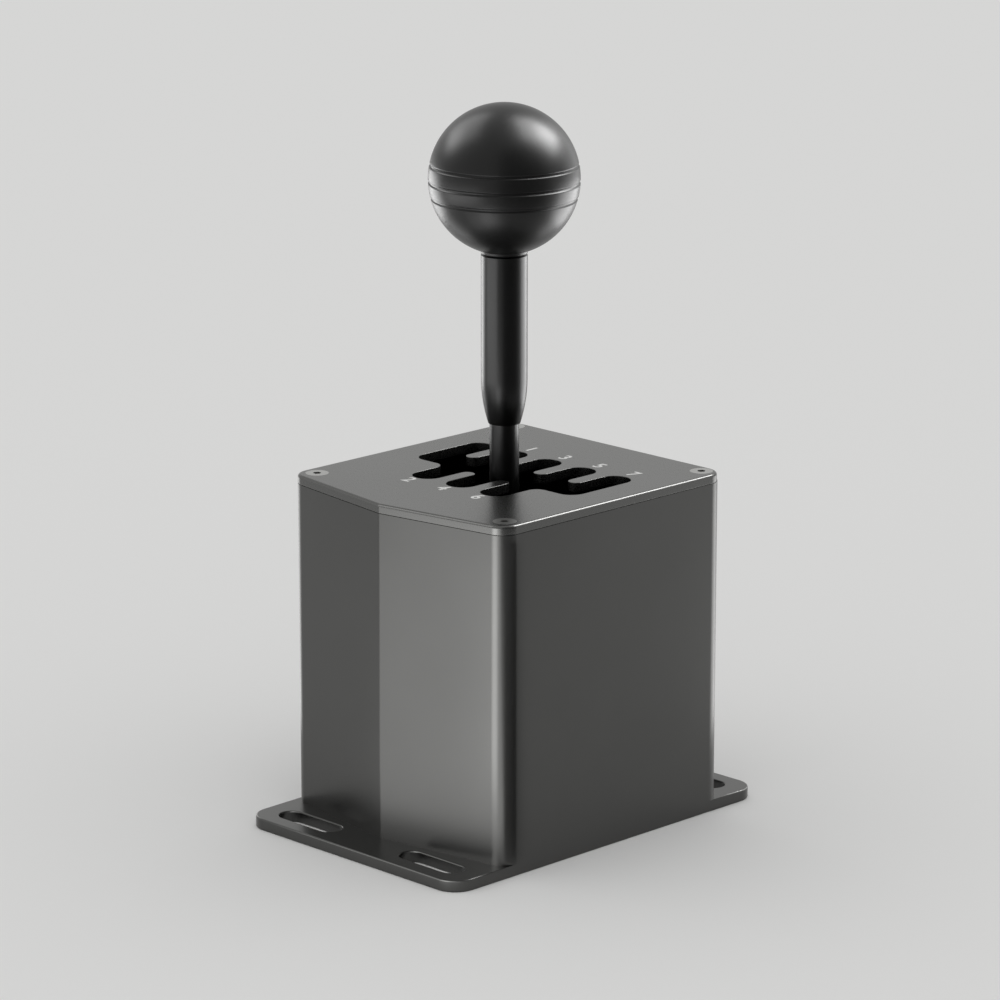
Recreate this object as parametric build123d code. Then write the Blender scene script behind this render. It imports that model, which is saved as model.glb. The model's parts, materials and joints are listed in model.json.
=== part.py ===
from build123d import *
import os
from math import acos, asin, atan, copysign, cos, degrees, hypot, radians, sin, tan

# Sim racing gear shifter, a gated lever with seven forward gears and reverse. Millimetres and degrees.
# The origin is at the centre of the base's underside, below the lever at rest.
# +X is to the driver's right, +Y away from the driver, +Z up.

# Shared fits
fit_gap = 0.05          # a pin, screw or ring in its bore, on the radius
seat_gap = 0.2          # round a fixed piece that drops into a pocket
overrun = 1.0           # how far a cut runs past the face that it opens

# Housing: one casting, a box with a shallow prow towards the driver, on a slotted flange
body_width = 100.0
body_front = 49.6       # from the lever to the front corners
body_back = 53.6        # from the lever to the back wall's outer face
prow_depth = 7.8
body_corner_r = 6.5
wall = 4.0
housing_height = 114.4
flange_lip_front = 22.4     # from the front corners to the flange's end
flange_lip_back = 18.4      # from the back wall to the flange's end
flange_thickness = 4.0
flange_corner_r = 8.0

# Slots in the flange for M8 bolts
slot_width = 8.4
slot_travel = 18.6      # between the centres of a slot's round ends
slot_inset_side = 21.0  # from the flange's side to a slot's middle
slot_inset_end = 10.0   # from the flange's end to a slot's axis

# M4 countersunk screws with a hexagon socket, the same all over
screw_r = 2.0
screw_length = 12.0
screw_head_r = 3.9
screw_socket_flats = 2.5
screw_socket_depth = 1.4
tapped_depth = 14.0
clearance_hole_r = 2.25

# Corner bosses inside the housing
boss_r = 5.4
boss_inset_side = 6.0   # from the body's side to the screw's axis
boss_inset_front = 5.9
boss_inset_back = 5.1

# Gate plate and its cut-out
plate_thickness = 3.2
plate_chamfer = 0.6
lane_pitch = 16.0
lane_width = 10.8
lane_reach = 19.4       # from the lever to the centre of a lane's round end
crossbar_half = 6.4
finger_tip = 6.9        # from the lever's row to the tips of the fingers
finger_tip_r = 2.5
shoulder_r = 4.0
gate_stop_gap = 0.3     # between the shaft and a lane's end in gear

# Bottom plate, let into the housing's foot
bottom_thickness = 3.0
bottom_recess = 1.0
bottom_rim = 2.0        # the wall left round the plate
bottom_screw_shift = 1.5    # from a boss's axis towards the middle, along X and Y

# Select axis: two ball bearings in two pedestals
pivot_height = 34.0
bearing_bore_r = 4.0
bearing_r = 8.0
bearing_width = 5.0
pedestal_gap = 2.0      # between the yoke's end and a pedestal
pedestal_thickness = 10.0
pedestal_width = 40.0
pedestal_crown_r = 12.0
pedestal_foot_height = 12.0
pedestal_lip = 1.5      # the shoulder behind a bearing
tunnel_width = 23.4
tunnel_height = 9.0
tunnel_corner_r = 2.0

# Select yoke, a ring that carries the shift axle across it
yoke_inner_x = 22.0
yoke_inner_y = 30.0
yoke_wall = 6.0
yoke_drop = 7.0         # below the pivot
yoke_rise = 9.5         # above the pivot
yoke_corner_r = 4.0
yoke_shoulder_r = 5.4
yoke_side_play = 0.3
stub_end_play = 2.0     # how far a stub runs past its bearing
wing_reach = 33.0       # from the lever to a wing's tip
wing_width = 14.0
wing_thickness = 4.0
wing_corner_r = 3.0

# Shift axle and its bushes
axle_r = 4.0
bush_wall = 1.0
bush_length = 8.0
bush_flange_r = 6.5
bush_flange_thickness = 0.7

# Pivot block, which clamps the lever shaft
block_width = 18.0
block_depth = 16.0
block_rise = 24.0       # above the pivot
block_waist = 7.0       # below the pivot, where the tail begins to narrow
block_tail_start = 12.0
magnet_gap = 4.8        # from the sensor chip to the magnet in the block's tail
block_tail_width = 11.0
block_chamfer = 0.8

# Lever: stepped shaft, sleeve, knob
shaft_r = 4.9
shaft_foot = 7.0        # above the pivot
shaft_neck_r = 4.0
sleeve_r = 7.7
sleeve_foot_r = 5.35
sleeve_foot_rise = 17.3     # from the gate plate to the sleeve's foot
sleeve_ogive_rise = 15.1    # from the sleeve's foot to where it is straight
sleeve_length = 56.9
sleeve_chamfer = 0.4
sleeve_flats = 3        # straight flats along the ogive
knob_r = 24.95
knob_rise = 24.8        # from the sleeve's top to the ball's centre
knob_flats = 11         # straight flats from the ball's top to its neck
insert_r = 7.0
insert_length = 20.0
insert_depth = 1.0      # from the knob's foot to the insert
thread_end_play = 1.5

# Set screws in the pivot block
set_screw_r = 2.0
set_screw_socket_flats = 2.0
set_screw_socket_depth = 1.4
set_screw_heights = (12.5, 20.0)    # above the pivot

# Detent: a cone-nosed pin in a plunger rides in an arc track with three dimples
detent_radius = 16.0    # from the shift axle to the pin
detent_pin_r = 2.0
detent_pin_length = 4.5
detent_nose_r = 0.8     # the flat tip
detent_reach = 0.7      # how far the tip stands into the block's face
detent_gap = 0.15       # between the tip and its track
detent_travel = 0.4
plunger_r = 3.0
plunger_nose_gap = 0.7  # from the block's face
plunger_length = 12.5
plunger_bore_gap = 0.06
plunger_bore_depth = 10.2
plunger_slot_width = 1.0
plunger_slot_depth = 1.0
detent_wire = 0.5
detent_coils = 4
lug_thickness = 8.0
lug_width = 12.0
lug_rise = 22.0         # above the pivot
lug_crown_r = 5.0

# Straight runs in each turn of a spring's wire
coil_runs = 12

# Centring springs under the yoke's wings, round posts on the bottom plate
spring_spread = 26.0    # from the lever to a spring's axis
spring_r = 5.3          # to the wire's centre
spring_wire = 1.2
spring_coils = 4
spring_end_gap = 0.1
post_r = 3.5
post_height = 10.0
post_flange_r = 6.5
post_flange_thickness = 1.5
post_spigot_r = 2.5
post_spigot_length = 2.5
wing_boss_r = 3.8
wing_boss_height = 2.0

# Sensor board, its standoffs and screws, the Hall sensor and the magnet above it
board_width = 22.0
board_front = 18.0      # from the lever towards the driver
board_back = 48.6
board_thickness = 1.6
board_corner_r = 2.0
standoff_flats = 5.0
standoff_height = 4.0
board_screw_front = 14.5
board_screw_back = 38.5
board_screw_r = 1.25
board_screw_head_r = 2.3
board_screw_head_height = 1.4
board_screw_socket_flats = 1.5
board_screw_socket_depth = 0.8
chip_width = 5.0
chip_length = 4.0
chip_height = 1.6
chip_leg_width = 0.5
chip_leg_pitch = 1.27
chip_leg_reach = 1.0
chip_leg_thickness = 0.25
chip_legs = 4
magnet_r = 3.0
magnet_height = 2.6

# Data socket at the board's back end, in a recess of the back wall
socket_width = 8.94
socket_height = 3.26
socket_length = 7.6
socket_shell = 0.3
socket_depth = 6.2
tongue_width = 6.7
tongue_thickness = 0.7
tongue_length = 4.45
recess_width = 13.0
recess_height = 7.6
recess_depth = 2.2

# Places worked out from the sizes above
flange_front = body_front + flange_lip_front
flange_back = body_back + flange_lip_back
slot_x = body_width / 2 - slot_inset_side
plate_top = housing_height + plate_thickness
bottom_top = bottom_recess + bottom_thickness
boss_x = body_width / 2 - boss_inset_side
boss_places = [
    (x, y)
    for x in (-boss_x, boss_x)
    for y in (boss_inset_front - body_front, body_back - boss_inset_back)
]
bottom_places = [
    (x - copysign(bottom_screw_shift, x), y - copysign(bottom_screw_shift, y))
    for x, y in boss_places
]
lane_half = lane_width / 2
gate_rise = plate_top - pivot_height
select_angle = degrees(atan(lane_pitch / (gate_rise - plate_thickness / 2)))
yoke_half_x = yoke_inner_x / 2 + yoke_wall
yoke_half_y = yoke_inner_y / 2 + yoke_wall
yoke_foot = pivot_height - yoke_drop
yoke_top = pivot_height + yoke_rise
wing_foot = yoke_top - wing_thickness
pedestal_start = yoke_half_y + pedestal_gap
pedestal_middle = pedestal_start + pedestal_thickness / 2
pedestal_screw_x = (pedestal_width + tunnel_width) / 4
pedestal_screws_at = [
    (x, y)
    for x in (-pedestal_screw_x, pedestal_screw_x)
    for y in (-pedestal_middle, pedestal_middle)
]
board_foot = bottom_top + standoff_height
board_top = board_foot + board_thickness
board_screws_at = (-board_screw_front, board_screw_back)
block_tail = board_top + chip_height + magnet_gap
socket_middle = board_top + socket_height / 2
recess_floor = body_back - recess_depth
pin_tip = block_width / 2 - detent_reach
pin_height = pivot_height + detent_radius
nose_x = block_width / 2 + plunger_nose_gap
plunger_back = nose_x + plunger_length
sleeve_foot_height = plate_top + sleeve_foot_rise
shaft_step_height = sleeve_foot_height + sleeve_ogive_rise
knob_foot = sleeve_foot_height + sleeve_length
knob_centre_height = knob_foot + knob_rise
insert_foot = knob_foot + insert_depth
insert_top = insert_foot + insert_length
shaft_top = insert_top - thread_end_play
post_top = bottom_top + post_flange_thickness + post_height
spring_foot = bottom_top + post_flange_thickness + spring_end_gap
spring_head = wing_foot - spring_end_gap


# One lane over, the shaft's leaning side stops just short of the lane's round end
lane_stop = lane_reach + lane_half - gate_stop_gap
lean = acos(shaft_r / hypot(gate_rise, lane_stop)) - atan(gate_rise / lane_stop)
shift_angle = degrees(atan(tan(lean) * cos(radians(select_angle))))


# Shapes that several pieces share
def rod(radius, low, high):
    """A cylinder on Z between two heights."""
    return Pos(0, 0, low) * Cylinder(radius, high - low, align=(Align.CENTER, Align.CENTER, Align.MIN))


def rod_x(radius, start, end, height):
    """A cylinder along X at a height."""
    return Pos(0, 0, height) * Rot(0, 90, 0) * rod(radius, start, end)


def rod_y(radius, start, end, height):
    """A cylinder along Y at a height."""
    return Pos(0, 0, height) * Rot(-90, 0, 0) * rod(radius, start, end)


def slab(plan, low, high):
    """A plan raised between two heights."""
    return Pos(0, 0, low) * extrude(plan, high - low)


def turned(points):
    """A solid of revolution on Z from an outline of (radius, height) points."""
    return revolve(Plane.XZ * make_face(Polyline(*points, close=True)), Axis.Z)


def hexagon(flats, depth):
    """A hexagon prism that runs down from height zero."""
    return extrude(RegularPolygon(flats / 2, 6, major_radius=False), -depth)


def screw():
    """A countersunk screw that points down, with its face at height zero."""
    cone = screw_head_r - screw_r
    tip = -screw_length
    body = turned([(0, 0), (screw_head_r, 0), (screw_r, -cone), (screw_r, tip), (0, tip)])
    return body - hexagon(screw_socket_flats, screw_socket_depth)


def screw_seat(thickness):
    """The countersunk hole that the screw drops into, through a plate of a thickness."""
    rim = screw_head_r + fit_gap
    cone = rim - clearance_hole_r
    below = -thickness - overrun
    return turned([(0, 0), (rim, 0), (clearance_hole_r, -cone), (clearance_hole_r, below), (0, below)])


def coil(radius, wire, length, turns):
    """A compression spring on Z from height zero, in square wire drawn on short straight runs."""
    runs = turns * coil_runs
    points = []
    for index in range(runs + 1):
        angle = radians(360 * index / coil_runs)
        height = wire / 2 + (length - wire) * index / runs
        points.append((radius * cos(angle), radius * sin(angle), height))
    path = Polyline(*points)
    section = Plane(origin=path @ 0, x_dir=(1, 0, 0), z_dir=path % 0) * Rectangle(wire, wire)
    return sweep(section, path=path, transition=Transition.RIGHT)


def body_plan():
    """The housing's outline, seen from above."""
    side = body_width / 2
    outline = make_face(Polyline(
        (-side, body_back),
        (-side, -body_front),
        (0, -body_front - prow_depth),
        (side, -body_front),
        (side, body_back),
        close=True,
    ))
    corners = [v for v in outline.vertices() if abs(v.X) > side / 2]
    return fillet(corners, body_corner_r)


def inner_plan(inset):
    """The housing's outline, drawn in by a distance."""
    return offset(body_plan(), amount=-inset)


# Fixed pieces
def housing():
    """Walls, flange and corner bosses in one casting, open at the top and the bottom."""
    walls = slab(body_plan(), 0, housing_height)
    flange_plan = RectangleRounded(body_width, flange_front + flange_back, flange_corner_r)
    flange = slab(Pos(0, (flange_back - flange_front) / 2) * flange_plan, 0, flange_thickness)
    cavity = slab(inner_plan(wall), -overrun, housing_height + overrun)
    rebate = slab(inner_plan(bottom_rim), -overrun, bottom_top)
    bosses = [Pos(x, y, 0) * rod(boss_r, bottom_top, housing_height) for x, y in boss_places]
    shell = walls + flange - cavity + bosses - rebate
    tap_r = screw_r + fit_gap
    for x, y in boss_places:
        shell -= Pos(x, y, 0) * rod(tap_r, housing_height - tapped_depth, housing_height + overrun)
    for x, y in bottom_places:
        shell -= Pos(x, y, 0) * rod(tap_r, 0, bottom_recess + tapped_depth)
    slot = slab(SlotCenterToCenter(slot_travel, slot_width), -overrun, flange_thickness + overrun)
    for x in (-slot_x, slot_x):
        for y in (slot_inset_end - flange_front, flange_back - slot_inset_end):
            shell -= Pos(x, y, 0) * slot
    return shell - socket_opening()


def socket_opening():
    """The recess for a plug in the back wall, and the hole for the socket in its floor."""
    wide = Pos(0, recess_floor, socket_middle) * Rot(-90, 0, 0)
    recess = wide * extrude(SlotOverall(recess_width, recess_height), recess_depth + overrun)
    hole = SlotOverall(socket_width + 2 * seat_gap, socket_height + 2 * seat_gap)
    return recess + wide * extrude(hole, -wall)


def gate_plan():
    """The gate's cut-out: a crossbar, three full lanes, and two outer lanes that only go forward."""
    outer = 2 * lane_pitch
    plan = Rectangle(2 * outer, crossbar_half + finger_tip, align=(Align.CENTER, Align.MIN))
    plan = Pos(0, -crossbar_half) * plan
    plan += Rectangle(2 * lane_pitch, 2 * finger_tip)
    for x in (-lane_pitch, 0, lane_pitch):
        plan += Pos(x, 0) * SlotCenterToCenter(2 * lane_reach, lane_width, rotation=90)
    foot = lane_half - crossbar_half
    short = SlotCenterToCenter(lane_reach - foot, lane_width, rotation=90)
    for x in (-outer, outer):
        plan += Pos(x, (lane_reach + foot) / 2) * short
    tips = [v for v in plan.vertices() if abs(abs(v.Y) - finger_tip) < fit_gap]
    plan = fillet(tips, finger_tip_r)
    shoulder_x = lane_pitch + lane_half
    shoulders = [
        v for v in plan.vertices()
        if abs(v.Y + crossbar_half) < fit_gap and abs(abs(v.X) - shoulder_x) < fit_gap
    ]
    return fillet(shoulders, shoulder_r)


def gate_plate():
    """The top plate, its rim chamfered, with the gate and four countersunk holes."""
    plate = slab(body_plan(), housing_height, plate_top)
    plate = chamfer(plate.faces().sort_by(Axis.Z)[-1].edges(), plate_chamfer)
    plate -= slab(gate_plan(), housing_height - overrun, plate_top + overrun)
    for x, y in boss_places:
        plate -= Pos(x, y, plate_top) * screw_seat(plate_thickness)
    return plate


def cover_screws():
    """Four screws that hold the gate plate to the bosses."""
    return [Pos(x, y, plate_top) * screw() for x, y in boss_places]


def bottom_plate():
    """The plate let into the housing's foot, against the bosses and the walls."""
    plate = slab(inner_plan(bottom_rim + seat_gap), bottom_recess, bottom_top)
    for x, y in bottom_places + pedestal_screws_at:
        plate -= Pos(x, y, bottom_recess) * Rot(180, 0, 0) * screw_seat(bottom_thickness)
    for x in (-spring_spread, spring_spread):
        plate -= Pos(x, 0, 0) * rod(post_spigot_r + fit_gap, 0, bottom_top + overrun)
    for y in board_screws_at:
        plate -= Pos(0, y, 0) * rod(board_screw_r + fit_gap, 0, bottom_top + overrun)
    return plate


def bottom_screws():
    """Four screws that hold the bottom plate up against the bosses."""
    return [Pos(x, y, bottom_recess) * Rot(180, 0, 0) * screw() for x, y in bottom_places]


def pedestal_screws():
    """Four screws through the bottom plate into the pedestals' feet."""
    return [Pos(x, y, bottom_recess) * Rot(180, 0, 0) * screw() for x, y in pedestal_screws_at]


def pedestal(turn):
    """A bearing block that stands behind the yoke; half a turn gives the front one."""
    crown = Pos(0, pivot_height) * Circle(pedestal_crown_r)
    foot = Rectangle(pedestal_width, pedestal_foot_height, align=(Align.CENTER, Align.MIN))
    foot = Pos(0, bottom_top) * foot
    face = make_hull([*crown.edges(), *foot.edges()])
    tunnel = Pos(0, bottom_top) * RectangleRounded(tunnel_width, 2 * tunnel_height, tunnel_corner_r)
    upright = Pos(0, pedestal_start, 0) * extrude(Plane.XZ * (face - tunnel), -pedestal_thickness)
    lip = pedestal_start + bearing_width
    end = pedestal_start + pedestal_thickness + overrun
    upright -= rod_y(bearing_r + fit_gap, pedestal_start - overrun, lip, pivot_height)
    upright -= rod_y(bearing_r - pedestal_lip, pedestal_start, end, pivot_height)
    for x in (-pedestal_screw_x, pedestal_screw_x):
        upright -= Pos(x, pedestal_middle, 0) * rod(screw_r + fit_gap, 0, bottom_recess + tapped_depth)
    return Rot(0, 0, turn) * upright


def bearing(turn):
    """A shielded ball bearing, drawn as one ring, in its pedestal."""
    ring = rod(bearing_r, 0, bearing_width)
    ring -= rod(bearing_bore_r + fit_gap, -overrun, bearing_width + overrun)
    return Rot(0, 0, turn) * Pos(0, pedestal_start, pivot_height) * Rot(-90, 0, 0) * ring


def select_bearings():
    """The two bearings of the select axis."""
    return [bearing(0), bearing(180)]


def spring_post(x):
    """A flanged post that centres one spring, its spigot in the bottom plate."""
    seat = bottom_top + post_flange_thickness
    return Pos(x, 0, 0) * turned([
        (0, bottom_top - post_spigot_length),
        (post_spigot_r, bottom_top - post_spigot_length),
        (post_spigot_r, bottom_top),
        (post_flange_r, bottom_top),
        (post_flange_r, seat),
        (post_r, seat),
        (post_r, post_top),
        (0, post_top),
    ])


def spring_posts():
    """The two posts."""
    return [spring_post(x) for x in (-spring_spread, spring_spread)]


def centring_spring(x):
    """One spring between its post's flange and the yoke's wing."""
    length = spring_head - spring_foot
    return Pos(x, 0, spring_foot) * coil(spring_r, spring_wire, length, spring_coils)


def sensor_board():
    """The circuit board, which runs from under the lever to the back wall."""
    length = board_front + board_back
    plan = Pos(0, (board_back - board_front) / 2) * RectangleRounded(board_width, length, board_corner_r)
    board = slab(plan, board_foot, board_top)
    for y in board_screws_at:
        board -= Pos(0, y, 0) * rod(board_screw_r + fit_gap, board_foot - overrun, board_top + overrun)
    return board


def board_standoffs():
    """Two hexagon standoffs between the bottom plate and the board."""
    post = Pos(0, 0, board_foot) * hexagon(standoff_flats, standoff_height)
    post -= rod(board_screw_r + fit_gap, bottom_top - overrun, board_foot + overrun)
    return [Pos(0, y, 0) * post for y in board_screws_at]


def board_screws():
    """Two cap screws through the board and its standoffs."""
    head = rod(board_screw_head_r, board_top, board_top + board_screw_head_height)
    top = Pos(0, 0, board_top + board_screw_head_height)
    one = head + rod(board_screw_r, bottom_recess + fit_gap, board_top)
    one -= top * hexagon(board_screw_socket_flats, board_screw_socket_depth)
    return [Pos(0, y, 0) * one for y in board_screws_at]


def hall_sensor():
    """The sensor chip under the lever's tail, with its two rows of legs."""
    low = Pos(0, 0, board_top)
    body = low * slab(Rectangle(chip_width, chip_length), chip_leg_thickness, chip_height)
    body = chamfer(body.faces().sort_by(Axis.Z)[-1].edges(), chip_leg_thickness)
    span = chip_width + 2 * chip_leg_reach
    for index in range(chip_legs):
        y = (index - (chip_legs - 1) / 2) * chip_leg_pitch * chip_length / (chip_length + chip_leg_pitch)
        body += low * Pos(0, y, 0) * slab(Rectangle(span, chip_leg_width), 0, 2 * chip_leg_thickness)
    return body


def data_socket():
    """A flat socket shell on the board, with the tongue inside its mouth."""
    mouth = Pos(0, recess_floor - seat_gap, socket_middle) * Rot(-90, 0, 0)
    shell = mouth * extrude(SlotOverall(socket_width, socket_height), -socket_length)
    inner = SlotOverall(socket_width - 2 * socket_shell, socket_height - 2 * socket_shell)
    shell -= mouth * extrude(inner, -socket_depth)
    back = mouth * Pos(0, 0, -socket_depth)
    return shell + back * extrude(Rectangle(tongue_width, tongue_thickness), tongue_length)


# Pieces that rock left and right
def select_yoke():
    """A ring with a stub at each end for the bearings, a wing at each side, and the detent's lug."""
    ring = RectangleRounded(2 * yoke_half_x, 2 * yoke_half_y, yoke_corner_r)
    ring -= RectangleRounded(yoke_inner_x, yoke_inner_y, yoke_corner_r)
    body = slab(ring, yoke_foot, yoke_top)
    for turn in (0, 180):
        body += Rot(0, 0, turn) * (yoke_stub() + yoke_wing())
    body += detent_lug()
    body -= rod_x(axle_r + fit_gap, -yoke_half_x - overrun, yoke_half_x + overrun, pivot_height)
    body -= rod_x(plunger_r + fit_gap, yoke_inner_x / 2 - overrun, plunger_back, pin_height)
    return body


def yoke_stub():
    """The stub at the yoke's back end: a shoulder, and the journal that runs in the bearing."""
    stub_end = pedestal_start + bearing_width + stub_end_play
    shoulder = rod_y(yoke_shoulder_r, yoke_half_y, pedestal_start - yoke_side_play, pivot_height)
    return shoulder + rod_y(bearing_bore_r, yoke_half_y, stub_end, pivot_height)


def yoke_wing():
    """The wing on the yoke's right, with the boss that the spring's head sits round."""
    start = yoke_half_x - yoke_wall / 2
    length = wing_reach - start
    plan = Pos(start + length / 2, 0) * RectangleRounded(length, wing_width, wing_corner_r)
    boss = Pos(spring_spread, 0, 0) * rod(wing_boss_r, wing_foot - wing_boss_height, wing_foot)
    return slab(plan, wing_foot, yoke_top) + boss


def detent_lug():
    """The lug on the yoke's right wall that holds the plunger beside the pivot block."""
    inner = yoke_inner_x / 2
    low = Pos(0, yoke_top - wing_thickness) * Rectangle(
        lug_width, lug_rise - yoke_rise + wing_thickness, align=(Align.CENTER, Align.MIN)
    )
    top = [v for v in low.vertices() if v.Y > yoke_top]
    return Pos(inner, 0, 0) * extrude(Plane.YZ * fillet(top, lug_crown_r), lug_thickness)


def shift_axle():
    """The axle pressed into the yoke's walls, flush with their outer faces."""
    return rod_x(axle_r, -yoke_half_x, yoke_half_x, pivot_height)


def detent_plunger():
    """A threaded sleeve with a bore for the pin and its spring, and a slot for a screwdriver."""
    body = rod_x(plunger_r, nose_x, plunger_back, pin_height)
    bore_end = nose_x + plunger_bore_depth
    body -= rod_x(detent_pin_r + plunger_bore_gap, nose_x - overrun, bore_end, pin_height)
    slot = Box(2 * plunger_slot_depth, 2 * plunger_r + overrun, plunger_slot_width)
    return body - Pos(plunger_back, 0, pin_height) * slot


def detent_spring():
    """The small spring behind the pin."""
    start = pin_tip + detent_pin_length + spring_end_gap
    length = nose_x + plunger_bore_depth - spring_end_gap - start
    radius = detent_pin_r - detent_wire
    return Pos(start, 0, pin_height) * Rot(0, 90, 0) * coil(radius, detent_wire, length, detent_coils)


def detent_pin():
    """The pin, its cone standing out of the plunger's nose."""
    cone = detent_pin_r - detent_nose_r
    return Pos(pin_tip, 0, pin_height) * Rot(0, 90, 0) * turned([
        (0, 0),
        (detent_nose_r, 0),
        (detent_pin_r, cone),
        (detent_pin_r, detent_pin_length),
        (0, detent_pin_length),
    ])


# Pieces that also rock forward and back
def pivot_block():
    """The block on the shift axle, bored for its bushes, the shaft and the magnet."""
    top = pivot_height + block_rise
    front = tapered_face(block_width / 2, top)
    side = tapered_face(block_depth / 2, top)
    block = extrude(Plane.XZ * front, block_depth, both=True)
    block &= extrude(Plane.YZ * side, block_width, both=True)
    block = chamfer(block.faces().sort_by(Axis.Z)[-1].edges(), block_chamfer)
    block -= rod_x(axle_r + bush_wall + fit_gap, -block_width, block_width, pivot_height)
    block -= rod(shaft_r + fit_gap, pivot_height + shaft_foot, top + overrun)
    block -= rod(magnet_r + fit_gap, block_tail - overrun, block_tail + magnet_height + fit_gap)
    for rise in set_screw_heights:
        block -= rod_y(set_screw_r + fit_gap, -block_depth, 0, pivot_height + rise)
    return block - detent_track()


def tapered_face(half, top):
    """One side view of the pivot block, straight above the pivot and narrowed to the tail."""
    tail = block_tail_width / 2
    points = [
        (half, top),
        (half, pivot_height - block_waist),
        (tail, pivot_height - block_tail_start),
        (tail, block_tail),
    ]
    mirrored = [(-x, z) for x, z in reversed(points)]
    return make_face(Polyline(*points, *mirrored, close=True))


def detent_track():
    """An arc track in the block's right face, with a dimple for each gear and one for neutral."""
    face = block_width / 2
    depth = detent_reach + detent_gap
    floor = detent_nose_r + detent_gap / 2
    top = floor + depth + overrun
    groove = Plane.XZ * make_face(Polyline(
        (detent_radius - floor, face - depth),
        (detent_radius + floor, face - depth),
        (detent_radius + top, face + overrun),
        (detent_radius - top, face + overrun),
        close=True,
    ))
    turn = Pos(0, 0, pivot_height) * Rot(0, 90, 0)
    track = turn * revolve(groove, Axis.Z)
    deep = depth + detent_travel
    wide = floor + deep + overrun
    rim = face + overrun
    dimple = turned([(0, face - deep), (floor, face - deep), (wide, rim), (0, rim)])
    for angle in (-shift_angle, 0, shift_angle):
        track += turn * Rot(0, 0, angle) * Pos(-detent_radius, 0, 0) * dimple
    return track


def pivot_bush(turn):
    """A flanged bush from one side of the block, running on the axle."""
    bore = axle_r + fit_gap
    outer = axle_r + bush_wall
    face = block_width / 2
    return Rot(0, 0, turn) * Pos(0, 0, pivot_height) * Rot(0, 90, 0) * turned([
        (bore, face - bush_length),
        (outer, face - bush_length),
        (outer, face),
        (bush_flange_r, face),
        (bush_flange_r, face + bush_flange_thickness),
        (bore, face + bush_flange_thickness),
    ])


def pivot_bushes():
    """The two bushes."""
    return [pivot_bush(0), pivot_bush(180)]


def set_screw(rise):
    """A headless screw that bears on the shaft from the driver's side."""
    start = shaft_r + fit_gap
    stud = rod(set_screw_r, start, block_depth / 2)
    stud -= Pos(0, 0, block_depth / 2) * hexagon(set_screw_socket_flats, set_screw_socket_depth)
    return Pos(0, 0, pivot_height + rise) * Rot(90, 0, 0) * stud


def shaft_set_screws():
    """The set screws that clamp the shaft."""
    return [set_screw(rise) for rise in set_screw_heights]


def magnet():
    """The sensing magnet in the block's tail."""
    return rod(magnet_r, block_tail, block_tail + magnet_height)


def lever_shaft():
    """The rod from the pivot block to the knob, stepped down where the sleeve seats."""
    foot = pivot_height + shaft_foot + fit_gap
    return turned([
        (0, foot),
        (shaft_r, foot),
        (shaft_r, shaft_step_height),
        (shaft_neck_r, shaft_step_height),
        (shaft_neck_r, shaft_top),
        (0, shaft_top),
    ])


def sleeve():
    """The upper tube, its foot drawn in to the shaft on an ogive curve."""
    top = knob_foot
    draw = sleeve_r - sleeve_foot_r
    ogive_r = (draw**2 + sleeve_ogive_rise**2) / (2 * draw)
    sweep_angle = asin(sleeve_ogive_rise / ogive_r)
    turns = [sweep_angle * index / sleeve_flats for index in range(sleeve_flats + 1)]
    ogive = [
        (sleeve_r - ogive_r * (1 - cos(turn)), shaft_step_height - ogive_r * sin(turn))
        for turn in turns
    ]
    bore = shaft_r + fit_gap
    neck = shaft_neck_r + fit_gap
    return turned([
        (sleeve_r - sleeve_chamfer, top),
        (sleeve_r, top - sleeve_chamfer),
        *ogive,
        (bore, sleeve_foot_height),
        (bore, shaft_step_height),
        (neck, shaft_step_height),
        (neck, top),
    ])


def knob():
    """A ball on a short neck, turned in narrow flats, and bored from below for its insert."""
    meet = 180 - degrees(asin(sleeve_r / knob_r))
    angles = [radians(meet * index / knob_flats) for index in range(knob_flats + 1)]
    curve = [
        (knob_r * sin(angle), knob_centre_height + knob_r * cos(angle))
        for angle in angles
    ]
    bore = insert_r + fit_gap
    return turned([
        *curve,
        (sleeve_r, knob_foot + sleeve_chamfer),
        (sleeve_r - sleeve_chamfer, knob_foot),
        (bore, knob_foot),
        (bore, insert_top),
        (0, insert_top),
    ])


def knob_insert():
    """The threaded insert in the knob that the shaft's neck screws into."""
    bore = rod(shaft_neck_r + fit_gap, insert_foot, shaft_top + fit_gap)
    return rod(insert_r, insert_foot, insert_top) - bore


pieces = {
    "housing": housing(),
    "gate_plate": gate_plate(),
    "cover_screws": cover_screws(),
    "bottom_plate": bottom_plate(),
    "bottom_screws": bottom_screws(),
    "front_pedestal": pedestal(180),
    "rear_pedestal": pedestal(0),
    "pedestal_screws": pedestal_screws(),
    "select_bearings": select_bearings(),
    "spring_posts": spring_posts(),
    "left_centring_spring": centring_spring(-spring_spread),
    "right_centring_spring": centring_spring(spring_spread),
    "sensor_board": sensor_board(),
    "board_standoffs": board_standoffs(),
    "board_screws": board_screws(),
    "hall_sensor": hall_sensor(),
    "data_socket": data_socket(),
    "select_yoke": select_yoke(),
    "shift_axle": shift_axle(),
    "detent_plunger": detent_plunger(),
    "detent_spring": detent_spring(),
    "detent_pin": detent_pin(),
    "pivot_block": pivot_block(),
    "pivot_bushes": pivot_bushes(),
    "shaft_set_screws": shaft_set_screws(),
    "magnet": magnet(),
    "lever_shaft": lever_shaft(),
    "sleeve": sleeve(),
    "knob": knob(),
    "knob_insert": knob_insert(),
}

os.makedirs("parts", exist_ok=True)
for name, shape in pieces.items():
    solid = Compound(children=shape) if isinstance(shape, list) else shape
    export_step(solid, f"parts/{name}.step")

print(f"select turns {select_angle:.3f} degrees to each side, at height {pivot_height:.1f}")
print(f"shift turns {shift_angle:.3f} degrees to each side")
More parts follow.
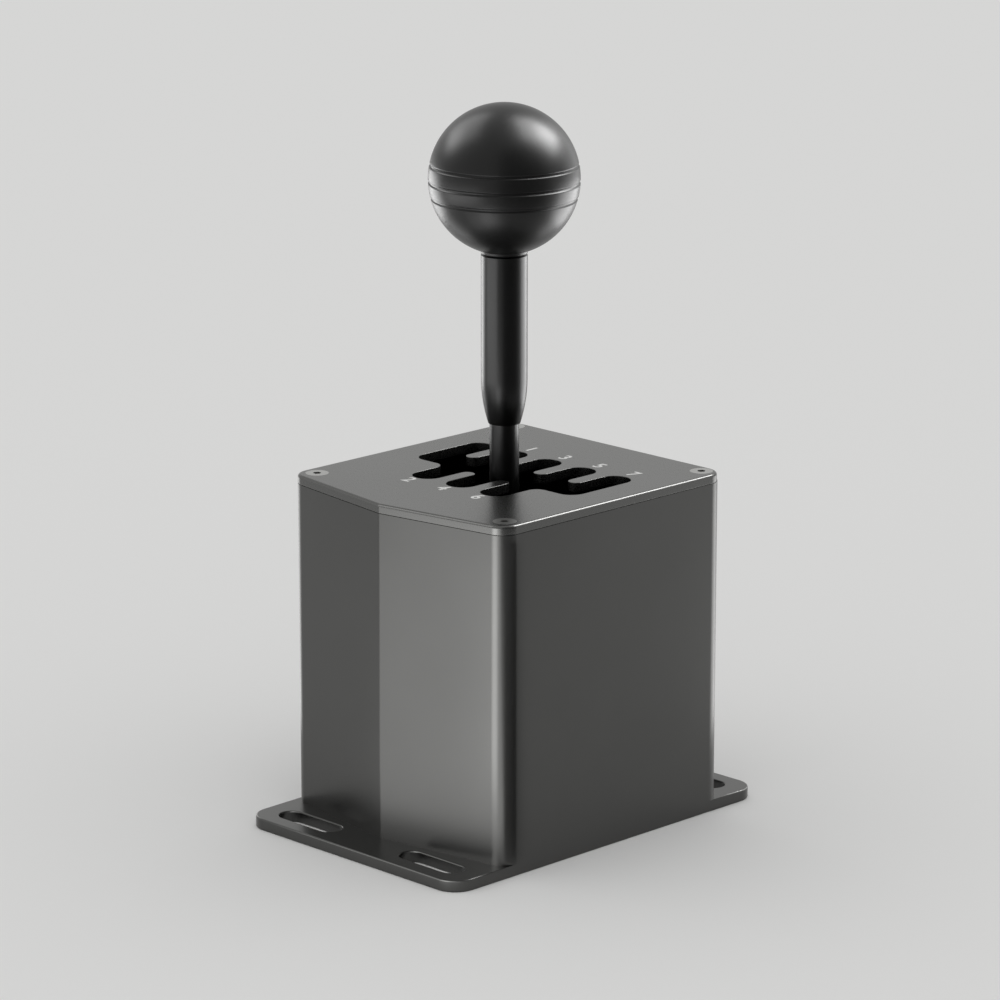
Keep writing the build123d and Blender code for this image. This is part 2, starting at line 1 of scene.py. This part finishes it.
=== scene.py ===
# %% [markdown]
# # A gated shifter for a driving rig
#
# The real object is a dark anodised aluminium box on a thin slotted flange. A gate plate closes its top,
# and a lever with a sleeve and a ball knob comes up through the gate. The frame already holds every part
# at its real size and place. What it lacks is what the eye looks for: edges that are rounded enough to
# catch the light, a truly turned knob and sleeve, springs of round wire, the printed gear numbers, and
# a finish on every part.

# %% Load the frame
import json
import math

import bmesh
import bpy
from mathutils import Matrix, Vector


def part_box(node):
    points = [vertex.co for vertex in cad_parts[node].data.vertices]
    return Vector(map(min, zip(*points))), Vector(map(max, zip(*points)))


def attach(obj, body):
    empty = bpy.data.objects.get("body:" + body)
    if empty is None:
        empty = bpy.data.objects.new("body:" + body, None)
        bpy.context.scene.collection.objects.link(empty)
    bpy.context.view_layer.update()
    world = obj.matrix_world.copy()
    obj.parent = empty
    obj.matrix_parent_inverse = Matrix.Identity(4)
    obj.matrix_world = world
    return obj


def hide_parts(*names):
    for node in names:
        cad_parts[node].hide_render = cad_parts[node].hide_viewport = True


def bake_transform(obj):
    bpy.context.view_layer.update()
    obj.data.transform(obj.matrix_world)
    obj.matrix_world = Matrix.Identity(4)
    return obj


MM = 0.001
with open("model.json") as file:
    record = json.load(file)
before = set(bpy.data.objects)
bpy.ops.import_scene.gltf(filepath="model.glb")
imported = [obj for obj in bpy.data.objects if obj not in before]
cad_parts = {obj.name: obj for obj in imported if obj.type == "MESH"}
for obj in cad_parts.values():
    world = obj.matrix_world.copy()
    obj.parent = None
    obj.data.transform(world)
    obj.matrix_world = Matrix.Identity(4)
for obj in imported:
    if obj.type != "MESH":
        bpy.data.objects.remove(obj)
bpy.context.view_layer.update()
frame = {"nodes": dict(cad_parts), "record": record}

# %% [markdown]
# ## Camera
#
# The photograph looks down a little on the corner between the driver's side and the right side. Its
# upright edges hardly lean together, which means a long lens a good way off. The camera is placed by
# its angle round the object, its angle above the floor and its distance, as a photographer would say.

# %% Camera
camera_azimuth = math.radians(45.13)
camera_elevation = math.radians(14.65)
camera_distance = 1534 * MM
camera_lens = 166.3
aim_point = Vector((-2, 0, 108)) * MM

level = math.cos(camera_elevation)
towards_camera = Vector((
    level * math.sin(camera_azimuth),
    -level * math.cos(camera_azimuth),
    math.sin(camera_elevation),
))
camera = bpy.data.objects.new("camera", bpy.data.cameras.new("camera"))
camera.data.lens = camera_lens
camera.data.clip_end = 50
camera.location = aim_point + camera_distance * towards_camera
camera.rotation_euler = (math.pi / 2 - camera_elevation, 0, camera_azimuth)
bpy.context.scene.collection.objects.link(camera)
bpy.context.scene.camera = camera
bpy.context.scene.view_settings.view_transform = "Standard"
print("camera at", [round(value, 3) for value in camera.location])

# %% [markdown]
# ## Helpers
#
# Three small functions serve all that follows. One turns a colour as a designer writes it, in sRGB hex,
# into the linear values that a shader needs. One adds a node with its settings and links. One turns a
# bmesh into an object whose place is in its mesh.

# %% Helpers
def linear(code):
    """The linear colour of an sRGB hex code such as 8a8b8c."""
    channels = [int(code[start:start + 2], 16) / 255 for start in (0, 2, 4)]
    return [c / 12.92 if c <= 0.04045 else ((c + 0.055) / 1.055) ** 2.4 for c in channels] + [1]


def add(tree, kind, inputs=None, **settings):
    """Adds a node, with its settings, and fills its inputs with values or with other nodes' outputs."""
    node = tree.nodes.new(kind)
    for name, value in settings.items():
        setattr(node, name, value)
    for name, value in (inputs or {}).items():
        if isinstance(value, bpy.types.NodeSocket):
            tree.links.new(value, node.inputs[name])
        else:
            node.inputs[name].default_value = value
    return node


def as_piece(name, shape):
    """Turns a bmesh into an object at the origin."""
    mesh = bpy.data.meshes.new(name)
    shape.to_mesh(mesh)
    shape.free()
    piece = bpy.data.objects.new(name, mesh)
    bpy.context.scene.collection.objects.link(piece)
    return piece


# %% [markdown]
# ## Studio
#
# A plain pale floor and soft light, as in a product studio. The world gives an even base light, at
# which a matt colour renders a little darker than it is written. The camera and every mirror-like
# surface see the world as a pale backdrop. The floor is matt paint and has no shine of its own, so only
# the object's soft shadow shows on it.

# %% Floor
def matt_paint(name, tone):
    """A paint or card with no shine at all."""
    paint = bpy.data.materials.new(name)
    paint.use_nodes = True
    paint.node_tree.nodes.clear()
    surface = add(paint.node_tree, "ShaderNodeBsdfPrincipled", {
        "Base Color": linear(tone),
        "Roughness": 0.9,
        "Specular IOR Level": 0.0,
    })
    add(paint.node_tree, "ShaderNodeOutputMaterial", {"Surface": surface.outputs[0]})
    return paint


floor_half = 6.0
floor_shape = bmesh.new()
bmesh.ops.create_grid(floor_shape, x_segments=1, y_segments=1, size=floor_half)
floor = as_piece("floor", floor_shape)
floor.data.materials.append(matt_paint("matt_studio_floor", "ececeb"))

# %% World
base_light = 0.8
backdrop_light = 1.0
world = bpy.data.worlds.new("studio")
world.use_nodes = True
world.node_tree.nodes.clear()
path = add(world.node_tree, "ShaderNodeLightPath")
camera_or_glossy = add(world.node_tree, "ShaderNodeMath", {
    0: path.outputs["Is Camera Ray"],
    1: path.outputs["Is Glossy Ray"],
}, operation="MAXIMUM")
shows_backdrop = add(world.node_tree, "ShaderNodeMath", {
    0: camera_or_glossy.outputs[0],
    1: path.outputs["Is Transmission Ray"],
}, operation="MAXIMUM")
light = add(world.node_tree, "ShaderNodeBackground", {
    "Color": linear("ffffff"),
    "Strength": base_light,
})
backdrop = add(world.node_tree, "ShaderNodeBackground", {
    "Color": linear("dededd"),
    "Strength": backdrop_light,
})
mixed = add(world.node_tree, "ShaderNodeMixShader", {
    0: shows_backdrop.outputs[0],
    1: light.outputs[0],
    2: backdrop.outputs[0],
})
add(world.node_tree, "ShaderNodeOutputWorld", {"Surface": mixed.outputs[0]})
bpy.context.scene.world = world

# %% [markdown]
# ### Softboxes
#
# Satin metal and black plastic show their shape by what they mirror. The camera looks down, so the
# upright faces mirror what stands low round the box: two panels in front give the front's right half
# its grey and the rounded corner its bright band, and one at each side draws the outer edges. A box
# high behind draws the line along the plate's right edge. All of them show in reflections alone,
# which leaves the floor even.
#
# A photographer keeps a lamp off the rest of a thing with a black card, and Blender calls that light
# linking. The plate's front edge has such a box of its own. The last seven light nothing but the
# lever: they give the ball its two soft patches, the sleeve its stripe, and both their bright rims.

# %% Softboxes
lever_only = bpy.data.collections.new("lit_with_the_lever")
lever_only.objects.link(frame["nodes"]["lever_shaft"])
plate_only = bpy.data.collections.new("lit_with_the_plate")


def set_up(thing, centre, azimuth, elevation, distance):
    """Makes a lamp or card face a centre, at angles in degrees, and show in reflections alone."""
    turn = math.radians(azimuth)
    rise = math.radians(elevation)
    away = Vector((math.cos(rise) * math.sin(turn), -math.cos(rise) * math.cos(turn), math.sin(rise)))
    thing.location = centre + distance * away
    thing.rotation_euler = away.to_track_quat("Z", "Y").to_euler()
    thing.visible_camera = False
    thing.visible_diffuse = False


def softbox(name, azimuth, elevation, distance, width, height, brightness, lit_parts=None):
    """An area lamp facing the object, which may light some parts alone."""
    lamp = bpy.data.lights.new(name, "AREA")
    lamp.shape = "RECTANGLE"
    lamp.size = width
    lamp.size_y = height
    lamp.energy = brightness * math.pi * width * height
    box = bpy.data.objects.new(name, lamp)
    set_up(box, aim_point, azimuth, elevation, distance)
    if lit_parts:
        box.light_linking.receiver_collection = lit_parts
    bpy.context.scene.collection.objects.link(box)


# Name, azimuth and elevation in degrees, distance, width and height in metres, brightness, lit parts
softbox("low_front_panel", 8, -25, 0.127, 0.15, 0.12, 1.2)
softbox("low_corner_panel", 15, -20, 0.169, 0.065, 0.11, 2.7)
softbox("low_left_panel", -79, -21, 0.158, 0.06, 0.1, 1.4)
softbox("low_right_panel", 157, -20, 0.174, 0.08, 0.1, 1.9)
softbox("high_edge_box", 160, 45, 1.3, 0.5, 0.5, 13)
softbox("plate_edge_box", -42, 33, 1.3, 0.5, 1.2, 1.5, plate_only)
softbox("lever_front_panel", -20, 0.5, 0.3, 0.35, 0.08, 4, lever_only)
softbox("lever_left_panel", -85, 11.4, 0.202, 0.12, 0.12, 5.1, lever_only)
softbox("lever_right_panel", 158, 7.6, 0.166, 0.15, 0.12, 6, lever_only)
softbox("lever_high_left_panel", -74, 61, 0.253, 0.13, 0.13, 2.8, lever_only)
softbox("lever_high_right_panel", 170, 25, 0.287, 0.2, 0.27, 1.2, lever_only)
softbox("lever_high_left_box", -74, 34, 1.3, 0.42, 0.42, 3.3, lever_only)
softbox("lever_high_back_box", 156, 52, 1.3, 0.9, 1.1, 9, lever_only)
print("floor, world and", len(bpy.data.lights), "softboxes")

# %% [markdown]
# ### Cards
#
# The photographed studio is dark to the right of the camera. Two grey cards stand there and show in
# reflections alone. A small one close to the rounded front corner draws the dark band beside the
# bright one, and a large one keeps the middle of the ball, the sleeve and the shaft dark.

# %% Cards
def upright_card(name, tone, centre, azimuth, distance, width, height):
    """A card that faces an upright axis and casts no shadow."""
    # The grid is 1 m by 1 m before the matrix gives it the card's width and height
    shape = bmesh.new()
    sides = Matrix.Diagonal((width, height, 1, 1))
    bmesh.ops.create_grid(shape, x_segments=1, y_segments=1, size=0.5, matrix=sides)
    card = as_piece(name, shape)
    set_up(card, centre, azimuth, 0, distance)
    card.visible_shadow = False
    card.data.materials.append(matt_paint(name + "_paper", tone))


front_corner = Vector((43.5, -43.1, 55)) * MM
lever_middle = Vector((0, 0, 310)) * MM  # the card reaches from 50 mm up to 570 mm
upright_card(
    "corner_card", "dcdcdc", front_corner,
    azimuth=84, distance=15.8 * MM, width=21 * MM, height=107 * MM,
)
upright_card(
    "lever_card", "909090", lever_middle,
    azimuth=76.5, distance=235 * MM, width=373 * MM, height=520 * MM,
)
print("corner card and lever card")

# %% [markdown]
# ## Finishes
#
# Every finish is one principled shader with two noises. A wide one shifts the tone a little, as dye,
# oil or oxide do. A fine one stands for the surface's own texture, and moves both the roughness and a
# shallow bump, so that a highlight breaks up where it should. What differs from one finish to the
# next is the metal or plastic under it, how rough it is, and how wide and deep the texture is.

# %% Finish helpers
def colour_between(tree, factor, dark, light_tone):
    """A colour that a factor slides between two sRGB codes."""
    # The node has sockets of the same names for other data, so those for colours go by number
    mix = add(tree, "ShaderNodeMix", {
        0: factor,
        6: linear(dark),
        7: linear(light_tone),
    }, data_type="RGBA")
    return mix.outputs[2]


metal = 1.0
no_metal = 0.0
tone_width = 40 * MM
roughness_swing = 0.04


def surface_finish(
    name, dark, light_tone, metallic, roughness, grain, depth, stretch=(1, 1, 1), ior=1.5,
):
    """A finish between two close tones, with a texture of a grain and a depth in metres."""
    material = bpy.data.materials.new(name)
    material.use_nodes = True
    tree = material.node_tree
    tree.nodes.clear()
    place = add(tree, "ShaderNodeTexCoord").outputs["Object"]
    tone = add(tree, "ShaderNodeTexNoise", {"Vector": place, "Scale": 1 / tone_width, "Detail": 3.0})
    drawn = add(tree, "ShaderNodeMapping", {"Vector": place, "Scale": stretch})
    texture = add(tree, "ShaderNodeTexNoise", {
        "Vector": drawn.outputs[0],
        "Scale": 1 / grain,
        "Detail": 2.0,
    })
    blur = add(tree, "ShaderNodeMapRange", {
        "Value": texture.outputs["Fac"],
        "To Min": roughness - roughness_swing,
        "To Max": roughness + roughness_swing,
    })
    bump = add(tree, "ShaderNodeBump", {
        "Height": texture.outputs["Fac"],
        "Strength": 0.5,
        "Distance": depth,
    })
    surface = add(tree, "ShaderNodeBsdfPrincipled", {
        "Base Color": colour_between(tree, tone.outputs["Fac"], dark, light_tone),
        "Metallic": metallic,
        "Roughness": blur.outputs[0],
        "IOR": ior,
        "Normal": bump.outputs[0],
    })
    add(tree, "ShaderNodeOutputMaterial", {"Surface": surface.outputs[0]})
    return material


# %% [markdown]
# ### Anodised aluminium
#
# The box, the plate and the sleeve are bead-blasted and then anodised, which leaves a hard grey or
# black skin over bright metal. The metal still mirrors the room, but thousands of tiny dents blur it.
# Real dents are about 0.1 mm wide, finer than a pixel here, so they are drawn 0.5 mm wide to show.

# %% Anodised aluminium
dent_width = 0.5 * MM
dent_depth = 0.005 * MM
anodised_body = surface_finish(
    "bead_blasted_grey_anodising", "555554", "5b5b5a", metal, 0.3, dent_width, dent_depth,
)
# The plate's grey is a little lighter than the box's, which paints in the light falling on its top
plate_anodising_painted_lighter = surface_finish(
    "bead_blasted_grey_anodising_painted_lighter", "60605f", "666665", metal, 0.28, dent_width, dent_depth,
)
anodised_sleeve = surface_finish(
    "black_anodised_turned_tube", "2a2a2a", "303030", metal, 0.3, dent_width, dent_depth,
)
print("anodised finishes:", anodised_body.name, plate_anodising_painted_lighter.name, anodised_sleeve.name)

# %% [markdown]
# ### Steels, brass and bare aluminium
#
# The shaft is blackened steel, the screws are zinc plated, and the parts inside are left as they were
# machined, ground or drawn. Three of these finishes show fine upright marks, so their noise is
# stretched along the height.

# %% Metals
tool_mark = 0.3 * MM
mark_depth = 0.004 * MM
along_height = (1, 1, 0.1)
blackened_steel = surface_finish(
    "blackened_steel", "262626", "2c2c2c", metal, 0.3, tool_mark, mark_depth, along_height,
)
zinc_steel = surface_finish(
    "zinc_plated_steel", "a8a8a6", "b2b2b0", metal, 0.3, tool_mark, mark_depth,
)
ground_steel = surface_finish(
    "ground_steel", "b4b5b6", "c0c1c2", metal, 0.22, tool_mark, mark_depth, along_height,
)
spring_wire = surface_finish(
    "drawn_spring_wire", "9a9a9c", "a8a8aa", metal, 0.28, tool_mark, mark_depth,
)
bare_aluminium = surface_finish(
    "machined_aluminium", "a9aaab", "b6b7b8", metal, 0.34, tool_mark, mark_depth, along_height,
)
turned_brass = surface_finish("turned_brass", "c09a4e", "cba65c", metal, 0.28, tool_mark, mark_depth)

# %% [markdown]
# ### Plastics, circuit board and ink
#
# The knob is a moulded black plastic with a satin skin, eroded into its mould by sparks: a soft, even
# grain. Black plastic reflects little, so its highlights stay grey. The circuit board is glass fibre
# under a green lacquer, and the gear numbers are a thin layer of white ink.

# %% Plastics and ink
skin_grain = 0.6 * MM
skin_depth = 0.015 * MM
moulded_depth = 0.01 * MM
ink_grain_depth = 0.004 * MM
# The pale room would grey a plain black plastic of IOR 1.5, so this one mirrors a little less of it
knob_plastic = surface_finish(
    "satin_black_plastic", "080808", "0c0c0c", no_metal, 0.35, skin_grain, skin_depth, ior=1.38,
)
chip_plastic = surface_finish(
    "moulded_black_epoxy", "101010", "181818", no_metal, 0.6, skin_grain, moulded_depth,
)
board_lacquer = surface_finish(
    "green_solder_mask", "0f3b22", "13472a", no_metal, 0.35, skin_grain, moulded_depth,
)
white_ink = surface_finish(
    "white_printing_ink", "e4e4e2", "efefed", no_metal, 0.55, skin_grain, ink_grain_depth,
)
print(len(bpy.data.materials), "materials")

# %% [markdown]
# ### Finishes on the frame's own parts
#
# Parts whose shape is already right keep it and only take a finish. The record names a finish for each
# part, so the frame's parts are dressed by that name.

# %% Dress the frame's parts
finish_of_slot = {
    "body_anodised": anodised_body,
    "plate_anodised": plate_anodising_painted_lighter,
    "plain_aluminium": bare_aluminium,
    "sleeve_anodised": anodised_sleeve,
    "shaft_steel": blackened_steel,
    "screw_steel": zinc_steel,
    "bright_steel": ground_steel,
    "spring_steel": spring_wire,
    "brass": turned_brass,
    "circuit_board": board_lacquer,
    "black_plastic": chip_plastic,
    "knob_plastic": knob_plastic,
}
for part in frame["record"]["subparts"]:
    node = frame["nodes"][part["node"]]
    node.data.materials.clear()
    node.data.materials.append(finish_of_slot[part["material_slot"]])

# %% [markdown]
# ## Rounded edges
#
# No milled or cast edge is perfectly sharp, and a deburred edge a few tenths of a millimetre wide is
# what draws the bright lines along this box. The housing and the plate are taken as merged copies of
# the frame's parts. Their flat faces are joined up again, their outer edges are beveled, and weighted
# normals keep the large faces flat right up to the bevel. The housing's top rim stays sharp, because
# the plate covers it and only a thin dark seam shows there.

# %% Rounded copies
weld = 0.002 * MM
flat_angle = math.radians(0.5)


def merged_copy(node_name):
    """A frame part as one closed shape with whole flat faces."""
    shape = bmesh.new()
    shape.from_mesh(frame["nodes"][node_name].data)
    bmesh.ops.remove_doubles(shape, verts=shape.verts, dist=weld)
    bmesh.ops.dissolve_limit(shape, angle_limit=flat_angle, verts=shape.verts, edges=shape.edges)
    return shape


def is_outer_edge(edge, least_turn=40):
    """True where two faces meet in an outward corner."""
    return edge.is_manifold and edge.is_convex and edge.calc_face_angle() > math.radians(least_turn)


def round_edges(shape, edges, width, segments=3):
    """Bevels edges to a round of a few faces."""
    bmesh.ops.bevel(
        shape, geom=edges, offset=width, offset_type="OFFSET", segments=segments,
        profile=0.5, affect="EDGES", material=-1, clamp_overlap=False,
    )


def smooth_piece(piece, keep_sharp=50):
    """Smooth shading that leaves flat faces flat, and edges sharp past an angle in degrees."""
    shape = bmesh.new()
    shape.from_mesh(piece.data)
    for face in shape.faces:
        face.smooth = True
    for edge in shape.edges:
        edge.smooth = edge.is_manifold and edge.calc_face_angle() < math.radians(keep_sharp)
    shape.to_mesh(piece.data)
    shape.free()
    weighted = piece.modifiers.new("flat_faces_stay_flat", "WEIGHTED_NORMAL")
    weighted.keep_sharp = True


# %% Housing
edge_round = 0.5 * MM
hair = 0.01 * MM
half_share = 0.46
front_wall = -46.5 * MM
back_wall = 49.9 * MM
housing_low, housing_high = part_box("housing")
housing_shape = merged_copy("housing")
side_wall = half_share * (housing_high.x - housing_low.x)


def on_prow(edge):
    """True for the upright crease in the middle of the driver's side."""
    return all(abs(v.co.x) < edge_round and v.co.y < front_wall for v in edge.verts)


def on_outside(edge):
    """True for an edge beyond the walls' inner faces, so not in the housing's hollow."""
    return any(abs(v.co.x) > side_wall or not front_wall < v.co.y < back_wall for v in edge.verts)


def at_seam(edge):
    """True for the top rim, which stays sharp under the plate."""
    return all(v.co.z > housing_high.z - hair for v in edge.verts)


outer = [e for e in housing_shape.edges if is_outer_edge(e) and on_outside(e) and not at_seam(e)]
outer += [e for e in housing_shape.edges if on_prow(e) and not at_seam(e)]
round_edges(housing_shape, outer, edge_round)
housing_piece = as_piece("housing_casting", housing_shape)
housing_piece.data.materials.append(anodised_body)
smooth_piece(housing_piece)
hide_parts("housing")
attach(housing_piece, "base")
print("housing:", len(outer), "edges rounded,", len(housing_piece.data.polygons), "faces")

# %% [markdown]
# ## Gate plate
#
# The plate is cut from sheet. Its outer edges and its crease are rounded, and the gate's edge only has
# its sharpness taken off, so that the lever slides past it. The screws' countersinks stay sharp,
# because the heads fill them.

# %% Gate plate
plate_round = 0.35 * MM
gate_round = 0.15 * MM
plate_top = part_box("gate_plate")[1].z
plate_shape = merged_copy("gate_plate")
head_r = 3.9 * MM
head_clear = 0.5 * MM
screws_low, screws_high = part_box("cover_screws")
screw_places = [
    Vector((x, y))
    for x in (screws_low.x + head_r, screws_high.x - head_r)
    for y in (screws_low.y + head_r, screws_high.y - head_r)
]


def near_screw(edge):
    """True for an edge of a countersink."""
    middle = (edge.verts[0].co + edge.verts[1].co) / 2
    return any((middle.xy - place).length < head_r + head_clear for place in screw_places)


def in_gate(edge):
    """True for an edge of the cut-out, which ends well inside the plate's sides."""
    return all(abs(v.co.x) < side_wall and abs(v.co.y) < side_wall for v in edge.verts)


outer = [e for e in plate_shape.edges if (is_outer_edge(e) or on_prow(e)) and not near_screw(e)]
gate_edges = [e for e in outer if in_gate(e)]
round_edges(plate_shape, [e for e in outer if not in_gate(e)], plate_round)
round_edges(plate_shape, gate_edges, gate_round)
plate_piece = as_piece("gate_cover", plate_shape)
plate_piece.data.materials.append(plate_anodising_painted_lighter)
smooth_piece(plate_piece)
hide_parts("gate_plate")
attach(plate_piece, "base")
plate_only.objects.link(plate_piece)
print("gate plate:", len(outer), "edges rounded,", len(plate_piece.data.polygons), "faces")

# %% [markdown]
# ## Ball knob
#
# A ball is quickest as a UV sphere: its rings lie level, as the lathe's cuts do. Each groove is two
# cuts with a plane, and the ring of faces between them is inset and sunk. That gives it two sloping
# walls, of which the lower one faces up and catches the light, and its lips are rounded. The bottom
# is cut off flat and its rim drawn down into the neck that meets the sleeve.

# %% Ball knob
knob_low, knob_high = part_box("knob")
ball_r = 24.95 * MM
ball_middle = knob_high.z - ball_r
groove_heights = (4.75 * MM, -0.8 * MM, -6.2 * MM)
groove_width = 1.3 * MM
groove_depth = 0.4 * MM
groove_slope = 0.42 * MM
lip_round = 0.09 * MM
cut_slack = 0.0001 * MM
neck_r = 7.7 * MM
neck_bore_r = 4.1 * MM
foot_step = 0.4 * MM


def level_cut(shape, height, normal, clear_outer=False):
    """Cuts a shape with a level plane and gives the edges of the cut."""
    whole = shape.verts[:] + shape.edges[:] + shape.faces[:]
    cut = bmesh.ops.bisect_plane(
        shape, geom=whole, dist=cut_slack, plane_co=(0, 0, height), plane_no=normal,
        clear_outer=clear_outer,
    )
    return [e for e in cut["geom_cut"] if isinstance(e, bmesh.types.BMEdge)]


knob_shape = bmesh.new()
bmesh.ops.create_uvsphere(knob_shape, u_segments=128, v_segments=90, radius=ball_r)
for height in groove_heights:
    level_cut(knob_shape, height - groove_width / 2, (0, 0, 1))
    level_cut(knob_shape, height + groove_width / 2, (0, 0, 1))
for height in groove_heights:
    ring = [f for f in knob_shape.faces if abs(f.calc_center_median().z - height) < groove_width / 2]
    bmesh.ops.inset_region(knob_shape, faces=ring, thickness=groove_slope, depth=-groove_depth)
lips = [e for e in knob_shape.edges if is_outer_edge(e, least_turn=25)]
round_edges(knob_shape, lips, lip_round, segments=2)
cut_height = -math.sqrt(ball_r**2 - neck_r**2)
rim = level_cut(knob_shape, cut_height, (0, 0, -1), clear_outer=True)
foot_height = knob_low.z - ball_middle
neck_outline = (
    (neck_r, foot_height + foot_step),
    (neck_r - foot_step, foot_height),
    (neck_bore_r, foot_height),
)
for radius, height in neck_outline:
    rim = bmesh.ops.extrude_edge_only(knob_shape, edges=rim)["geom"]
    ring_verts = [v for v in rim if isinstance(v, bmesh.types.BMVert)]
    rim = [e for e in rim if isinstance(e, bmesh.types.BMEdge)]
    for vert in ring_verts:
        flat = vert.co.xy.normalized() * radius
        vert.co = (flat.x, flat.y, height)
bmesh.ops.recalc_face_normals(knob_shape, faces=knob_shape.faces)
bmesh.ops.translate(knob_shape, verts=knob_shape.verts, vec=(0, 0, ball_middle))
knob_piece = as_piece("ball_knob", knob_shape)
knob_piece.data.materials.append(knob_plastic)
smooth_piece(knob_piece, keep_sharp=40)
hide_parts("knob")
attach(knob_piece, "lever")
lever_only.objects.link(knob_piece)
print("knob:", len(groove_heights), "grooves,", len(knob_piece.data.polygons), "faces")

# %% [markdown]
# ## Sleeve
#
# The sleeve is turned: a straight tube whose foot is drawn in to the shaft on a long curve. Spinning
# its outline once round the axis makes it as the lathe does.

# %% Sleeve
sleeve_low, sleeve_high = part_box("sleeve")
sleeve_r = 7.7 * MM
sleeve_foot_r = 5.35 * MM
bore_r = 4.95 * MM
ogive_rise = 15.1 * MM
rim_step = 0.4 * MM
ogive_steps = 12
closing_weld = 0.001 * MM
draw_in = sleeve_r - sleeve_foot_r
ogive_r = (draw_in**2 + ogive_rise**2) / (2 * draw_in)
whole_turn = math.asin(ogive_rise / ogive_r)
outline = [
    (bore_r, sleeve_high.z),
    (sleeve_r - rim_step, sleeve_high.z),
    (sleeve_r, sleeve_high.z - rim_step),
]
for step in range(ogive_steps + 1):
    turn = whole_turn * step / ogive_steps
    radius = sleeve_r - ogive_r * (1 - math.cos(turn))
    outline.append((radius, sleeve_low.z + ogive_rise - ogive_r * math.sin(turn)))
outline.append((bore_r, sleeve_low.z))


def turned_piece(name, outline, steps=96):
    """Spins an outline of (radius, height) points round the lever's axis."""
    shape = bmesh.new()
    verts = [shape.verts.new((radius, 0, height)) for radius, height in outline]
    edges = [shape.edges.new(pair) for pair in zip(verts, verts[1:])]
    bmesh.ops.spin(
        shape, geom=verts + edges, cent=(0, 0, 0), axis=(0, 0, 1), angle=2 * math.pi,
        steps=steps, use_merge=True,
    )
    bmesh.ops.remove_doubles(shape, verts=shape.verts, dist=closing_weld)
    bmesh.ops.recalc_face_normals(shape, faces=shape.faces)
    return as_piece(name, shape)


sleeve_piece = turned_piece("lever_sleeve", outline)
sleeve_piece.data.materials.append(anodised_sleeve)
smooth_piece(sleeve_piece, keep_sharp=40)
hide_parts("sleeve")
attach(sleeve_piece, "lever")
lever_only.objects.link(sleeve_piece)
print("sleeve:", len(sleeve_piece.data.polygons), "faces")

# %% [markdown]
# ## Centring springs
#
# Inside, a compression spring under each wing of the yoke brings the lever back to the middle. Its
# frame part is drawn in square wire on short straight runs. Real wire is round, so here one ring of
# points is spun round the spring's axis and lifted a little at each step, which winds it up a helix.
# In the shifter its foot stands on the base and its head follows the yoke; this one is wound at rest.

# %% Centring springs
wire_r = 0.6 * MM
coils = 4
steps_in_coil = 40
all_steps = coils * steps_in_coil
for node_name in ("left_centring_spring", "right_centring_spring"):
    spring_low, spring_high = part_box(node_name)
    middle_x = (spring_low.x + spring_high.x) / 2
    coil_r = (spring_high.x - spring_low.x) / 2 - wire_r
    climb = spring_high.z - spring_low.z - 2 * wire_r
    upright = Matrix.Rotation(math.pi / 2, 4, "X")
    first_ring = Matrix.Translation((coil_r, 0, spring_low.z + wire_r)) @ upright
    spring_shape = bmesh.new()
    bmesh.ops.create_circle(spring_shape, segments=12, radius=wire_r, matrix=first_ring)
    bmesh.ops.spin(
        spring_shape, geom=spring_shape.verts[:] + spring_shape.edges[:],
        cent=(0, 0, 0), axis=(0, 0, 1), angle=2 * math.pi * coils,
        steps=all_steps, dvec=(0, 0, climb / all_steps),
    )
    open_ends = [e for e in spring_shape.edges if e.is_boundary]
    bmesh.ops.holes_fill(spring_shape, edges=open_ends)
    bmesh.ops.recalc_face_normals(spring_shape, faces=spring_shape.faces)
    bmesh.ops.translate(spring_shape, verts=spring_shape.verts, vec=(middle_x, 0, 0))
    spring_piece = as_piece(f"wound_{node_name}", spring_shape)
    spring_piece.data.materials.append(spring_wire)
    smooth_piece(spring_piece)
    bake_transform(spring_piece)
    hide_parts(node_name)
    print(spring_piece.name, "rises", round(1000 * climb, 1), "mm in", coils, "coils")

# %% [markdown]
# ## Gear numbers
#
# The numbers are printed at the lanes' ends: odd gears and reverse at the far ends, even gears at the
# near ones. The far row stands a little to the left of its lanes. Text gives the digits their shapes,
# and a few hundredths of a millimetre of thickness are the ink.

# %% Gear numbers
digit_height = 5 * MM
capital_share = 0.7
ink_thickness = 0.02 * MM
stroke_spread = 0.15 * MM
far_row = 29.3 * MM
near_row = -28.4 * MM
far_shift = 0.5 * MM
lane_pitch = 16 * MM
gear_places = {
    "R": (-2 * lane_pitch - far_shift, far_row),
    "1": (-lane_pitch - far_shift, far_row),
    "3": (-far_shift, far_row),
    "5": (lane_pitch - far_shift, far_row),
    "7": (2 * lane_pitch - 2 * far_shift, far_row),
    "2": (-lane_pitch, near_row),
    "4": (0, near_row),
    "6": (lane_pitch, near_row),
}
for gear, (x, y) in gear_places.items():
    text = bpy.data.curves.new("digit", "FONT")
    text.body = gear
    text.size = digit_height / capital_share
    text.extrude = ink_thickness
    text.offset = stroke_spread
    text.align_x = "CENTER"
    text.align_y = "CENTER"
    text_object = bpy.data.objects.new("digit", text)
    mesh = bpy.data.meshes.new_from_object(text_object)
    mesh.transform(Matrix.Translation((x, y, plate_top)))
    bpy.data.objects.remove(text_object)
    number = bpy.data.objects.new(f"gear_number_{gear}", mesh)
    bpy.context.scene.collection.objects.link(number)
    number.data.materials.append(white_ink)
    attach(number, "base")
print(len(gear_places), "gear numbers")
